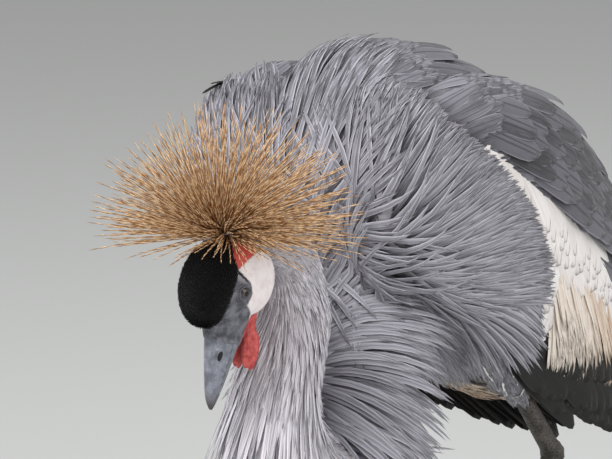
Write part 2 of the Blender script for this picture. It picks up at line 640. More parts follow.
class Coat:
    """Many like feathers, gathered as arrays and then joined as one mesh.

    Each cross-section has four points: left edge, ridge, right edge and keel. The tip is one point.
    """

    def __init__(self, shares, outline, thickness, camber=0.22, twist=0.0):
        self.shares, self.outline = np.array(shares), np.array(outline)
        self.thickness, self.camber, self.twist = thickness, camber, twist
        self.lines, self.ups, self.halves, self.places, self.tones = [], [], [], [], []

    def add(self, line, ups, half, place, tone):
        """Takes one feather, unless it would stand out too far to a side."""
        if max(abs(point.x) for point in line) > WIDEST:
            return
        self.lines.append(line)
        self.ups.append(ups)
        self.halves.append(half)
        self.places.append(place)
        self.tones.append(tone)

    def arrays(self):
        """Points, polygon corners and corner counts of all the feathers."""
        line, up = np.array(self.lines, float), np.array(self.ups, float)
        ahead = np.gradient(line, axis=1)
        ahead /= np.linalg.norm(ahead, axis=2, keepdims=True) + 1e-12
        up -= ahead * (up * ahead).sum(2, keepdims=True)
        up /= np.linalg.norm(up, axis=2, keepdims=True) + 1e-12
        side = np.cross(ahead, up)
        if self.twist:
            turn = (self.shares[None, :] * self.twist + np.array(self.tones)[:, None] * 6.0)[..., None]
            up, side = up * np.cos(turn) + side * np.sin(turn), side * np.cos(turn) - up * np.sin(turn)
        wide = (np.array(self.halves)[:, None] * self.outline[None, :])[..., None]
        thick = (self.thickness * (1 - 0.6 * self.shares))[None, :, None]
        low = up * wide * self.camber
        left, right = line - side * wide - low, line + side * wide - low
        rings = np.stack([left, line + up * thick, right, line - up * thick - low * 0.6], 2)
        count, stations = line.shape[:2]
        bodies = np.concatenate([rings[:, :-1].reshape(count, -1, 3), line[:, -1:]], 1)
        quads, last = [[0, 3, 2, 1]], 4 * (stations - 2)
        for k in range(0, last, 4):
            quads += [[k + j, k + (j + 1) % 4, k + 4 + (j + 1) % 4, k + 4 + j] for j in range(4)]
        tips = [[last + j, last + (j + 1) % 4, last + 4] for j in range(4)]
        return bodies, np.array(quads), np.array(tips)

    def made(self, name, material, slot, nodes):
        """The joined mesh as a finished piece."""
        bodies, quads, tips = self.arrays()
        count, size = bodies.shape[:2]
        start = (np.arange(count) * size)[:, None, None]
        corners = np.concatenate([(quads[None] + start).reshape(-1), (tips[None] + start).reshape(-1)])
        counts = np.concatenate([np.full(count * len(quads), 4), np.full(count * len(tips), 3)])
        data = bpy.data.meshes.new(name)
        data.vertices.add(count * size)
        data.vertices.foreach_set("co", bodies.astype(np.float32).ravel())
        data.loops.add(len(corners))
        data.loops.foreach_set("vertex_index", corners.astype(np.int32))
        data.polygons.add(len(counts))
        starts = np.concatenate([[0], np.cumsum(counts)[:-1]])
        data.polygons.foreach_set("loop_start", starts.astype(np.int32))
        data.update(calc_edges=True)
        data.shade_smooth()
        self.mark(data, corners, count, size)
        piece = bpy.data.objects.new(name, data)
        bpy.context.scene.collection.objects.link(piece)
        return finish_piece(piece, material, nodes)

    def mark(self, data, corners, count, size):
        """Sharp rims, the attributes that the finish reads, and each feather's patch on the baked map."""
        ends = np.empty(len(data.edges) * 2, np.int32)
        data.edges.foreach_get("vertices", ends)
        local = ends.reshape(-1, 2) % size
        rim = (local % 4 == local[:, :1] % 4).all(1) & (local[:, 0] % 2 == 0) & (local < size - 1).all(1)
        data.attributes.new("sharp_edge", "BOOLEAN", "EDGE").data.foreach_set("value", rim)
        ring = np.tile([-1.0, 0.0, 1.0, 0.0], size // 4)
        across = np.tile(np.append(ring, 0.0), count)
        along = np.tile(np.append(np.repeat(self.shares[:-1], 4), 1.0), count)
        tone = np.repeat(np.array(self.tones), size)
        for key, values in (("across", across), ("along", along), ("tone", tone)):
            store(data, key, values)
        places = np.repeat(np.array(self.places, float), size, axis=0)
        flat = np.stack([places[:, 0] + across * PATCH / 2, places[:, 1] + (along - 0.5) * PATCH], 1)
        baked = data.uv_layers.new(name="OFBake")
        baked.uv.foreach_set("vector", np.clip(flat, 0, 1)[corners].astype(np.float32).ravel())


def laid_over(cover, root, way, reach, shares, lift, hug=0.85, sink=0.0012):
    """A feather's line from its sunk root over the surface, rising towards its tip, and the way it faces."""
    spot, normal, _, _ = cover.find_nearest(root)
    way = (way - normal * way.dot(normal)).normalized()
    line, ups, point, before = [spot - normal * sink], [normal], spot, 0.0
    for share in shares[1:]:
        target = point + way * reach * (share - before)
        near, facing, _, _ = cover.find_nearest(target)
        height = lift * share
        held = target.lerp(near + facing * height, hug * (1 - 0.4 * share))
        clear = (held - near).dot(facing)
        if clear < height * 0.5 + 0.0004:
            held = held + facing * (height * 0.5 + 0.0004 - clear)
        way = (way * 0.4 + (held - point).normalized() * 0.6).normalized()
        line.append(held)
        ups.append((ups[-1] * 0.4 + facing * 0.6).normalized())
        point, before = held, share
    return line, ups


def bowed(root, start_way, end_way, reach, shares, up):
    """A free feather's line that turns from one direction to another."""
    line, before, point = [root], 0.0, root
    for share in shares[1:]:
        way = start_way.lerp(end_way, share).normalized()
        point = point + way * reach * (share - before)
        line.append(point)
        before = share
    return line, [up] * len(line)


def jittered(way, normal, draw, most):
    """The direction, turned a little at random within the surface."""
    return (way + normal.cross(way) * draw.uniform(-most, most)).normalized()


def random_way(draw):
    """A random step of up to one each way."""
    return Vector([draw.uniform(-1, 1) for _ in range(3)])


# Skin


def upright_ring(x, y, z, width, depth):
    """Places a ring of the torso or of a wing, a little inside the solid."""
    across, up = X_AXIS * max(width - SKIN_INSET, SMALLEST), Z_AXIS * max(depth - SKIN_INSET, SMALLEST)
    return ring_matrix(Vector((x, y, z)) + ORIGIN_SHIFT, across, up, -Y_AXIS)


def neck_rings(shares, inset):
    """Places rings of the neck at those shares of its length."""
    rings = []
    for share in shares:
        centre, _, across, dorsal, width, depth = neck_frame(share)
        side, up = across * (width - inset), dorsal * (depth - inset)
        rings.append(ring_matrix(centre, side, up, across.cross(dorsal)))
    return rings


def add_body_shells(mesh):
    """Closed shells of the torso, wings, neck, shoulders and thighs."""
    rings = []
    for y in refined([row[0] for row in TORSO]):
        z, width, depth = row_at(TORSO, y)
        rings.append(upright_ring(0, y, z, width, depth))
    sweep(mesh, rings, 40)
    for side in SIDES.values():
        rings = []
        for y in refined([row[0] for row in WING]):
            x, z, width, depth = row_at(WING, y)
            rings.append(upright_ring(side * x, y, z, width, depth))
        sweep(mesh, rings, 32)
    sweep(mesh, neck_rings([step / 60 for step in range(61)], SKIN_INSET), 32)
    for side in SIDES.values():
        ellipsoid(mesh, outward(SHOULDER_AT, side), SHOULDER_HALF, Matrix.Identity(4))
    for name, side in SIDES.items():
        knee, hock, _ = (outward(point, side) for point in LEGS[name])
        down = (hock - knee) * THIGH_SHARE
        rings = []
        for step in range(9):
            share = step / 8
            radius = thigh_radius(share) - SKIN_INSET
            rings.append(round_ring(knee + down * share, down.normalized(), radius))
        sweep(mesh, rings, 24)


def add_head_shells(mesh):
    """Closed shells of the skull, cap, cheeks, mounds round the eyes and the neck's root."""
    rings = []
    for forward, height, width, depth in SKULL[:-1]:
        size = max(width - SKIN_INSET / 2, SMALLEST), max(depth - SKIN_INSET / 2, SMALLEST)
        centre = Vector((forward, 0, height))
        rings.append(HEAD @ ring_matrix(centre, Y_AXIS * size[0], Z_AXIS * size[1], X_AXIS))
    for forward, height, width, depth in SKULL_FRONT:
        rings.append(HEAD @ ring_matrix(Vector((forward, 0, height)), Y_AXIS * width, Z_AXIS * depth, X_AXIS))
    sweep(mesh, rings, 40)
    ellipsoid(mesh, CAP_AT, CAP_HALF * 0.97, HEAD)
    for side in SIDES.values():
        ellipsoid(mesh, mirrored(CHEEK_AT, side), CHEEK_HALF, HEAD)
        ellipsoid(mesh, mirrored(EYE_AT, side), LID_MOUND, HEAD)
    sweep(mesh, neck_rings([step / 8 * 0.16 for step in range(9)], SKIN_INSET * 1.5), 32)


def distance_inside(points, outline):
    """Signed distance of flat points to a closed outline, above zero inside it."""
    outline = np.array(outline)
    ends = np.roll(outline, -1, axis=0)
    best, inside = np.full(len(points), 1e9), np.zeros(len(points), bool)
    for low, high in zip(outline, ends):
        span = high - low
        share = np.clip(((points - low) @ span) / (span @ span), 0, 1)
        best = np.minimum(best, np.linalg.norm(points - low - share[:, None] * span, axis=1))
        crosses = (low[1] > points[:, 1]) != (high[1] > points[:, 1])
        where = low[0] + (points[:, 1] - low[1]) * span[0] / (span[1] if span[1] else 1e-9)
        inside ^= crosses & (points[:, 0] < where)
    return np.where(inside, best, -best)


def in_head_frame(points):
    """The points in the head's own frame."""
    turned = np.array(HEAD.inverted())
    return points @ turned[:3, :3].T + turned[:3, 3]


def head_marks(points):
    """Shares of white, red, black and slate for points of the head, as arrays."""
    forward, beside, crown = in_head_frame(points).T
    flat = np.stack([forward, crown], 1)
    turned_out = np.clip((np.abs(beside) - 0.004) / 0.002, 0, 1)
    to_white, to_red = distance_inside(flat, WHITE_PATCH), distance_inside(flat, RED_PATCH)
    white = np.clip(to_white / MARK_SOFT + 0.5, 0, 1) * turned_out
    red = np.clip(to_red / MARK_SOFT + 0.5, 0, 1) * turned_out
    in_cap = np.clip((crown - cap_edge_at(forward)) / MARK_SOFT + 0.5, 0, 1) * (forward < CAP_TIP)
    rim = (np.maximum(to_white, to_red) > -BORDER) & (forward < NAPE_FRONT) & (to_white < 0) & (to_red < 0)
    front = np.clip((forward - FACE_BACK) / 0.004, 0, 1)
    black = np.maximum(in_cap, rim * (1 - front))
    near_head = np.clip((0.060 - np.abs(forward)) / 0.01, 0, 1) * np.clip((crown + 0.044) / 0.004, 0, 1)
    return {"white": white, "red": red, "black": black * near_head, "slate": front * near_head}


def cap_edge_at(forward):
    """Height of the velvet cap's lower edge at those forward places."""
    places, heights = zip(*CAP_EDGE)
    return np.interp(forward, places, heights)


def make_skin():
    """One skin over the torso, wings, neck, thighs and head, finer on the head."""
    joined = bmesh.new()
    for name, add_shells, voxel, rounds in (
        ("body_shells", add_body_shells, 0.003, 14),
        ("head_shells", add_head_shells, 0.0011, 5),
    ):
        mesh = bmesh.new()
        add_shells(mesh)
        shells = fused(new_piece(name, mesh), voxel, rounds)
        joined.from_mesh(shells.data)
        bpy.data.objects.remove(shells)
    skin = new_piece("crane_skin", joined)
    for key, values in head_marks(points_of(skin)).items():
        store(skin.data, key, values)
    nodes = ["torso", "neck_upper", "neck_middle", "neck_lower", "head", "wing_left", "wing_right"]
    return finish_piece(skin, skin_finish(), nodes + ["thigh_left", "thigh_right"])


# Plumage of the body and wings


# Two dark feathers that stand loose from the far shoulder, each as its root and tip
LOOSE_FEATHERS = [
    (Vector((-0.085, -0.1000, 0.5120)), Vector((-0.085, -0.1580, 0.5260))),
    (Vector((-0.085, -0.0960, 0.5060)), Vector((-0.085, -0.1420, 0.5300))),
]
LOOSE_HALF = 0.0024
# Where the breast's straps fan out from, and how far to the bird's right that line of origin reaches
FAN_FROM, FAN_SPAN = Vector((0.050, -0.236, 0.337)) + ORIGIN_SHIFT, -0.025
FRINGE_COUNT, FRINGE_REAR = 230, 0.040  # loose straps on each side, and how far back their tips reach
# Heights, and how far back the grey straps reach over the wing at each
STRAP_END = [
    (0.24, -0.02), (0.27, 0.010), (0.292, 0.050), (0.333, 0.058),
    (0.366, 0.048), (0.414, 0.010), (0.457, -0.046), (0.50, -0.11),
]
STRAP_HALF, SHORTEST_STRAP = (0.0019, 0.0027), 0.022
FLANK_TOP = 0.345  # straps that grow below this height hang free
# Gap between feathers of each kind, as a share of the straps' gap
GAP_SHARES = {"strap": 1.0, "mantle": 1.5, "belly": 1.5, "rear": 1.9}
HEAD_REACH = 0.062  # distance from the skull's centre within which the head's own feathers grow
# Rows and feathers in a row of the scapulars and of the white coverts, and straw plumes on each wing
SCAPULAR_ROWS, SCAPULARS_IN_ROW, COVERT_ROWS, COVERTS_IN_ROW, PLUME_COUNT = 9, 13, 22, 24, 620
# Rows of flight feathers: kind, y of the first and last root, their turns round the wing in degrees, reach,
# fall in degrees, half width and how many
FLIGHT_ROWS = (
    ("black", 0.010, 0.300, 172, 150, 0.135, 30, 0.0125, 26),
    ("black", 0.000, 0.300, 158, 130, 0.125, 33, 0.0120, 26),
    ("black", 0.000, 0.290, 142, 116, 0.115, 31, 0.0115, 24),
    ("chestnut", 0.195, 0.300, 120, 96, 0.090, 29, 0.0105, 10),
)
TAIL_COUNT, TAIL_REACH, TAIL_HALF = 12, 0.150, 0.0115


def strap_end(z):
    """How far back the grey straps reach over the wing at that height."""
    heights, ends = zip(*STRAP_END)
    return float(np.interp(z, heights, ends))


def scapular_line(y):
    """Height of the lower edge of the grey scapulars over the white wing."""
    return 0.459 - 0.48 * (y + 0.046) if y < 0.09 else 0.394 - 0.14 * (y - 0.09)


def body_way(spot, y, normal):
    """The lie of the body's plumage: up and out over the breast, then back along the body."""
    fan_from = Vector((min(FAN_FROM.x, max(FAN_SPAN, spot.x)), FAN_FROM.y, FAN_FROM.z))
    fan = (spot - fan_from).normalized()
    high = clamped((spot.z - 0.35) / 0.09)
    past = clamped((y + 0.15) / 0.17)
    rise_front, rise_rear = 0.08 + 0.26 * high, -0.16 - 0.12 * high
    out = math.copysign(0.30, spot.x - ORIGIN_SHIFT.x) * (1 - past) * min(1.0, abs(spot.x) / 0.03)
    back = Vector((out, 0.93, rise_front + (rise_rear - rise_front) * past)).normalized()
    share = clamped((y + 0.20) / 0.11)
    return fan.lerp(back, 0.25 + 0.75 * share).normalized()


def body_patch(turn, y):
    """Place on the baked map of a feather of the body."""
    return turn / (2 * math.pi) + 0.5, clamped((y + 0.28) / 0.60)


def spread_out(places, gap_of, draw):
    """Indices of places that keep their gap to each other, taken in a shuffled order."""
    order, kept, cells, size = list(range(len(places))), [], {}, 0.012
    draw.shuffle(order)
    for i in order:
        gap = gap_of(i)
        if not gap:
            continue
        x, y, z = places[i]
        key = int(x // size), int(y // size), int(z // size)
        near = (
            other
            for a in (-1, 0, 1) for b in (-1, 0, 1) for c in (-1, 0, 1)
            for other in cells.get((key[0] + a, key[1] + b, key[2] + c), ())
        )
        if all((x - p[0]) ** 2 + (y - p[1]) ** 2 + (z - p[2]) ** 2 > gap * gap for p in near):
            cells.setdefault(key, []).append((x, y, z))
            kept.append(i)
    return kept


def neck_place(points):
    """The nearest place along the neck for each point, and how far outside its half width the point is."""
    shares = np.linspace(0, 1, 101)
    rows = np.array([row_at(NECK, share) for share in shares])
    centres, widths = rows[:, :3] + np.array(ORIGIN_SHIFT), rows[:, 3]
    away = np.linalg.norm(points[:, None, :] - centres[None], axis=2)
    nearest = away.argmin(1)
    return shares[nearest], away[np.arange(len(points)), nearest] - widths[nearest]


def region_of(x, y, z, place, outside, facing_out):
    """Which kind of feather grows at a place of the skin."""
    if place < 0.70 and outside < 0.006:
        return "hackle"
    if z < 0.335 and abs(x) < 0.055 and y > 0.03:
        return "belly"
    if y < strap_end(z) - 0.012 and (z < scapular_line(y) or y < -0.085):
        return "strap"
    if z >= scapular_line(y) and y < 0.17:
        return "mantle"
    if y >= 0.17 and (z > 0.352 - 0.30 * (y - 0.17) or abs(x) < 0.030 or facing_out < 0):
        return "rear"
    return "wing"


def strap_reach(spot, way, most):
    """The longest reach whose tip stays short of the white wing."""
    reach = most
    while reach > SHORTEST_STRAP:
        tip = spot - ORIGIN_SHIFT + way * reach
        if tip.y < strap_end(tip.z):
            return reach
        reach -= 0.004
    return 0.0


def add_fringe(straps, draw):
    """Loose straps from the belly's sides that hang out below the folded wings."""
    for name, side in SIDES.items():
        for _ in range(FRINGE_COUNT):
            y, turn = draw.uniform(-0.135, 0.004), side * math.radians(draw.uniform(128, 168))
            root, past = torso_point(y, turn, -0.002), torso_point(y, turn, 0.01)
            up = (past - root).normalized()
            start = Vector((side * 0.34, 0.86, -0.16)).normalized()
            end = (Vector((side * 0.10, 0.80, -0.62)) + random_way(draw) * 0.10).normalized()
            reach = min(draw.uniform(0.075, 0.105), (FRINGE_REAR - y) / 0.82)
            if reach > 0.03:
                line, ups = bowed(root, start, end, reach, BLADE[0], up)
                half, tone = draw.uniform(*STRAP_HALF), 0.45 + 0.55 * draw.random()
                straps[name].add(line, ups, half, body_patch(turn, y), tone)


def add_strap(straps, cover, spot, normal, way, x, z, patch, draw):
    """One strap of the breast or shoulder, or one that hangs from the flank."""
    flank = z < FLANK_TOP
    most = draw.uniform(0.075, 0.105) if flank else draw.uniform(0.080, 0.125)
    reach = strap_reach(spot, way, most) if abs(x) > 0.03 else most * 0.85
    if reach <= SHORTEST_STRAP:
        return
    lift = 0.0070 * draw.uniform(0.5, 1.5)
    if flank:
        loose = (way - normal * way.dot(normal)).normalized()
        start = (loose + normal * 0.12).normalized()
        end = (loose - Z_AXIS * 0.95 + Y_AXIS * 0.3).normalized()
        line, ups = bowed(spot - normal * 0.001, start, end, reach, BLADE[0], normal)
    else:
        line, ups = laid_over(cover, spot, way, reach, BLADE[0], lift, 0.84)
    tone = draw.random() * 0.55 + 0.45 * (1 - clamped((z - 0.36) / 0.12))
    straps["left" if x > 0 else "right"].add(line, ups, draw.uniform(*STRAP_HALF), patch, tone)


def add_roof_feather(coats, kind, cover, spot, normal, way, y, patch, draw):
    """One broad feather of the mantle, or one of the tertials behind it."""
    if kind == "mantle":
        reach = draw.uniform(0.055, 0.072) * (1.0 + 2.2 * max(0.0, y))
        half, lift = min(0.0085, 0.0046 + 0.022 * max(0.0, y + 0.07)), 0.0040
    else:
        way = jittered(Vector((0, 0.90, -0.44)), normal, draw, 0.05)
        reach = draw.uniform(0.070, 0.090) * (0.75 if y > 0.30 else 1.0)
        half, lift = 0.0092, 0.0035
    line, ups = laid_over(cover, spot, way, reach, ROUND[0], lift + draw.uniform(0, 0.002), 0.92)
    coats[kind].add(line, ups, half * draw.uniform(0.9, 1.1), patch, draw.random())


def make_body_plumage(skin, sizes):
    """Straps over the breast and shoulders, the mantle, the tertials and the belly."""
    cover, draw = tree_of(skin), random.Random(21)
    straps = {name: Coat(*BLADE, 0.0006, 0.30) for name in SIDES}
    roofs = {"mantle": Coat(*ROUND, 0.0008, 0.20), "rear": Coat(*ROUND, 0.0009, 0.16)}
    belly = Coat(*BLADE, 0.0006, 0.25)
    places, normals = points_of(skin), points_of(skin, "normal")
    bare = places - np.array(ORIGIN_SHIFT)
    along_neck, outside = neck_place(places)
    head_away = np.linalg.norm(places - np.array(HEAD.translation), axis=1)
    outwards = normals[:, 0] * bare[:, 0]
    kinds = [
        "head" if head_away[i] < HEAD_REACH else region_of(*bare[i], along_neck[i], outside[i], outwards[i])
        for i in range(len(places))
    ]
    for i in spread_out(places, lambda i: GAP_SHARES.get(kinds[i], 0) * sizes.strap_gap, draw):
        spot, normal = Vector(places[i]), Vector(normals[i])
        x, y, z = bare[i]
        way = jittered(body_way(spot, y, normal), normal, draw, 0.08)
        patch = body_patch(math.atan2(x, z - 0.40), y)
        if kinds[i] == "belly":
            line, ups = laid_over(cover, spot, way, draw.uniform(0.038, 0.056), BLADE[0], 0.006)
            belly.add(line, ups, 0.0034, patch, draw.random())
        elif kinds[i] == "strap":
            add_strap(straps, cover, spot, normal, way, x, z, patch, draw)
        else:
            add_roof_feather(roofs, kinds[i], cover, spot, normal, way, y, patch, draw)
    add_fringe(straps, draw)
    body_nodes = ["torso", "wing_left", "wing_right"]
    belly_nodes = ["torso", "thigh_left", "thigh_right"]
    grey = feather_finish("strap_grey")
    for name, coat in straps.items():
        coat.made(f"breast_straps_{name}", grey, "grey_plumage", ["torso", f"wing_{name}"])
    roofs["mantle"].made("mantle_feathers", feather_finish("mantle_grey"), "grey_plumage", body_nodes)
    belly.made("belly_feathers", feather_finish("belly_grey"), "grey_plumage", belly_nodes)
    roofs["rear"].made("tertials", feather_finish("scapular_slate"), "grey_plumage", body_nodes)


def wing_side(cover, side, y, z):
    """The skin's outermost place on that side at that y and height, with its normal, or None for both."""
    start = Vector((side * 0.3, y, z)) + ORIGIN_SHIFT
    spot, normal, _, _ = cover.ray_cast(start, Vector((-side, 0, 0)), 0.34)
    return spot, normal


def make_scapulars(cover):
    """Long dark grey scapulars and inner flight feathers that roof the folded wings."""
    draw = random.Random(33)
    coat = Coat(*ROUND, 0.0010, 0.16)
    for side in SIDES.values():
        for row in range(SCAPULAR_ROWS):
            for k in range(SCAPULARS_IN_ROW):
                y = -0.062 + row * 0.0215 + draw.uniform(-0.006, 0.006)
                z = scapular_line(y) + 0.016 + k * 0.0072 + draw.uniform(-0.002, 0.002)
                spot, normal = wing_side(cover, side, y, z)
                if spot is None:
                    continue
                way = jittered(Vector((0, 0.90, -0.42)), normal, draw, 0.05)
                reach = (0.085 + 0.010 * row) * draw.uniform(0.92, 1.08)
                line, ups = laid_over(cover, spot, way, reach, ROUND[0], 0.010, 0.7, 0.0)
                patch = (0.5 + side * (0.12 + 0.02 * k), 0.2 + 0.08 * row)
                coat.add(line, ups, (0.0085 + 0.0006 * row) * draw.uniform(0.9, 1.1), patch, draw.random())
    nodes = ["wing_left", "wing_right", "torso"]
    coat.made("scapulars", feather_finish("scapular_slate"), "grey_plumage", nodes)


def add_coverts(coat, cover, side, draw):
    """Rows of white coverts over one wing, from its rear forwards."""
    for row in range(COVERT_ROWS):
        for k in range(COVERTS_IN_ROW):
            y = 0.255 - row * 0.0150 + draw.uniform(-0.003, 0.003)
            z = 0.245 + k * 0.0105 + draw.uniform(-0.003, 0.003)
            if y < strap_end(z) - 0.045 or z > scapular_line(y) + 0.02:
                continue
            spot, normal = wing_side(cover, side, y, z)
            if spot is None or abs(normal.x) < 0.3:
                continue
            way = jittered(Vector((0, 0.60, -0.80)), normal, draw, 0.04)
            line, ups = laid_over(cover, spot, way, draw.uniform(0.070, 0.085), ROUND[0], 0.0022, 0.95)
            patch = (0.5 + side * (0.02 + 0.02 * k), 0.04 + 0.04 * row)
            coat.add(line, ups, draw.uniform(0.0095, 0.0115), patch, draw.random())


def add_plumes(coat, cover, side, draw):
    """Straw plumes that hang over the rear of one wing's white."""
    for _ in range(PLUME_COUNT):
        y, z = draw.uniform(0.070, 0.205), draw.uniform(0.280, 0.355)
        z -= 0.30 * (y - 0.10)
        spot, normal = wing_side(cover, side, y, z)
        if spot is None:
            continue
        way = jittered(Vector((side * 0.05, 0.34, -0.94)), normal, draw, 0.16)
        reach = draw.uniform(0.070, 0.105) * min(1.0, 0.62 + 3.0 * max(0.0, y - 0.07))
        line, ups = laid_over(cover, spot, way, reach, BLADE[0], 0.010, 0.65)
        patch = (0.5 + side * (0.05 + 0.4 * draw.random()), 0.1 + 0.8 * draw.random())
        half = draw.uniform(0.0016, 0.0028)
        tone = min(1.0, draw.random() * 0.35 + 0.65 * (1 - clamped((y - 0.12) / 0.07)))
        coat.add(line, ups, half, patch, tone)


def make_wing_coverts(cover):
    """White coverts over the folded wing, with straw plumes that hang from their rear."""
    draw = random.Random(44)
    white, straw = Coat(*ROUND, 0.0004, 0.05), Coat(*BLADE, 0.0005, 0.25)
    for side in SIDES.values():
        add_coverts(white, cover, side, draw)
        add_plumes(straw, cover, side, draw)
    white.made("white_coverts", feather_finish("covert_white"), "wing_white", ["wing_left", "wing_right"])
    straw.made("straw_plumes", feather_finish("plume_straw"), "wing_white", ["wing_left", "wing_right"])


def make_flight_feathers():
    """Black primaries low on the folded wing, chestnut secondaries over them, and the tail."""
    draw = random.Random(55)
    coats = {kind: Coat(*ROUND, 0.0010, 0.14) for kind in ("black", "chestnut")}
    tail = Coat(*ROUND, 0.0010, 0.12)
    for side in SIDES.values():
        for kind, first, last, low, high, reach, fall, half, count in FLIGHT_ROWS:
            for k in reversed(range(count)):
                share = k / (count - 1)
                y = first + (last - first) * share
                root = wing_point(side, y, math.radians(low + (high - low) * share), -0.002)
                angle = math.radians(fall + draw.uniform(-2, 2))
                way = Vector((-side * 0.10, math.cos(angle), -math.sin(angle)))
                droop = (way + Vector((0, 0.05, -0.10))).normalized()
                length = reach * draw.uniform(0.95, 1.05) * (1.0 if y < 0.25 else 0.72)
                up = Vector((side * 0.94, 0, -0.3)).normalized()
                line, ups = bowed(root, way.normalized(), droop, length, ROUND[0], up)
                patch = (0.5 + side * (0.1 + 0.3 * share), 0.1 + 0.8 * share)
                coats[kind].add(line, ups, half, patch, draw.random())
    for root, tip in LOOSE_FEATHERS:
        way = (tip - root).normalized()
        droop, length = (way - Z_AXIS * 0.5).normalized(), (tip - root).length
        line, ups = bowed(root + ORIGIN_SHIFT, way, droop, length, ROUND[0], Z_AXIS)
        coats["black"].add(line, ups, LOOSE_HALF, (0.3, 0.9), draw.random())
    for k in range(TAIL_COUNT):
        share = 2 * k / (TAIL_COUNT - 1) - 1
        root = Vector((share * 0.012, 0.250, 0.306 - abs(share) * 0.004)) + ORIGIN_SHIFT
        way = Vector((share * 0.10, 0.93, -0.36)).normalized()
        up, reach = Vector((0, 0.36, 0.93)), TAIL_REACH * (1 - 0.08 * abs(share))
        line, ups = bowed(root, way, way, reach, ROUND[0], up)
        tail.add(line, ups, TAIL_HALF, (0.5 + share * 0.4, 0.5), draw.random())
    dusk, brown = feather_finish("primary_black", 0.6, 0.0), feather_finish("secondary_chestnut")
    coats["black"].made("primaries", dusk, "tail_black", ["wing_left", "wing_right"])
    coats["chestnut"].made("secondaries", brown, "wing_white", ["wing_left", "wing_right"])
    tail.made("tail_feathers", dusk, "tail_black", ["tail"])


# Plumage of the neck and thighs


HACKLES_FROM = 0.60  # size from which a neck feather is a breast hackle
FINE_BELOW = 0.04  # size below which a neck feather is a fine one
THIGH_FEATHER_COUNT = 900


def make_neck_plumage(skin):
    """Hair-like feathers on the upper neck that lengthen into long pointed hackles lower down."""
    draw, cover = random.Random(66), tree_of(skin)
    fine, middle, long = Coat(*SHORT, 0.0004, 0.3), Coat(*BLADE, 0.0005, 0.3), Coat(*BLADE, 0.0006, 0.3)
    places, normals = points_of(skin), points_of(skin, "normal")
    along_neck, outside = neck_place(places)
    marks = {key: np.empty(len(places), np.float32) for key in ("white", "red", "black", "slate")}
    for key, values in marks.items():
        skin.data.attributes[key].data.foreach_get("value", values)
    bare = sum(marks.values()) > 0.2
    head_away = np.linalg.norm(places - np.array(HEAD.translation), axis=1)
    forward, _, crown = in_head_frame(places).T
    bare |= (forward > -0.014) & (crown > -0.040)
    grown = ((outside < 0.007) | (head_away < HEAD_REACH)) & (along_neck < 0.74) & ~bare

    def gap_of(i):
        return (0.0018 + 0.0026 * clamped((along_neck[i] - 0.15) / 0.5)) if grown[i] else 0

    for i in spread_out(places, gap_of, draw):
        at, root, up = float(along_neck[i]), Vector(places[i]), Vector(normals[i])
        centre, ahead, across, dorsal, _, _ = neck_frame(at)
        size = clamped((at - 0.18) / 0.50)
        turn = math.atan2((root - centre).dot(across), (root - centre).dot(dorsal))
        half = (0.0009 + 0.0013 * size) * draw.uniform(0.85, 1.15)
        rear = max(0.0, (at - 0.40) / 0.28) * (0.55 + 0.45 * math.cos(turn))
        reach = (0.014 + 0.100 * size**1.2) * draw.uniform(0.8, 1.15) * (1 + 0.35 * min(1.0, rear))
        lie = (ahead - up * ahead.dot(up)).normalized()
        patch = (turn / (2 * math.pi) % 1.0, at)
        start = (lie + up * (0.16 + 0.10 * size)).normalized()
        end = ahead + Y_AXIS * rear * 1.5 + up * (0.02 + 0.22 * size) - Z_AXIS * 0.35 * size
        end = (end + random_way(draw) * 0.12).normalized()
        if size >= HACKLES_FROM:
            line, ups = bowed(root - up * 0.001, start, end, reach, long.shares, up)
            long.add(line, ups, half, patch, draw.random())
            continue
        coat = fine if size < FINE_BELOW else middle
        for _ in range(2):
            near = root + random_way(draw) * 0.0016
            combed = (lie + random_way(draw) * 0.09 + Y_AXIS * rear * 0.5).normalized()
            lift = (0.0013 + 0.012 * size) * draw.uniform(0.5, 1.4)
            line, ups = laid_over(cover, near, combed, reach * draw.uniform(0.9, 1.1), coat.shares, lift, 0.9)
            coat.add(line, ups, half * 0.85, patch, draw.random())
    fine.made("upper_neck_feathers", feather_finish("neck_grey"), "grey_plumage", ["neck_upper", "head"])
    middle.made("middle_hackles", feather_finish("hackle_lilac"), "grey_plumage", ["neck_middle"])
    long.made("breast_hackles", feather_finish("hackle_lilac"), "grey_plumage", ["neck_lower"])


def make_thigh_plumage():
    """Short feathers over the thighs, ending in a soft edge above the bare shank."""
    draw = random.Random(77)
    coat = Coat(*SHORT, 0.0005, 0.25)
    for name, side in SIDES.items():
        knee, hock, _ = (outward(point, side) for point in LEGS[name])
        down = (hock - knee) * THIGH_SHARE
        way = down.normalized()
        across = way.cross(X_AXIS).normalized()
        other = way.cross(across)
        for _ in range(THIGH_FEATHER_COUNT):
            share, turn = draw.uniform(0.1, 1.0), draw.uniform(0, 2 * math.pi)
            up = across * math.cos(turn) + other * math.sin(turn)
            root = knee + down * share + up * (thigh_radius(share) - 0.002)
            start, end = (way + up * 0.22).normalized(), (way - up * 0.16).normalized()
            line, ups = bowed(root, start, end, draw.uniform(0.018, 0.028), coat.shares, up)
            patch = (turn / (2 * math.pi), 0.25 * (1 + side) + 0.5 * share)
            coat.add(line, ups, 0.0024, patch, draw.random())
    coat.made("thigh_feathers", feather_finish("thigh_grey"), "grey_plumage", ["thigh_left", "thigh_right"])


# Head


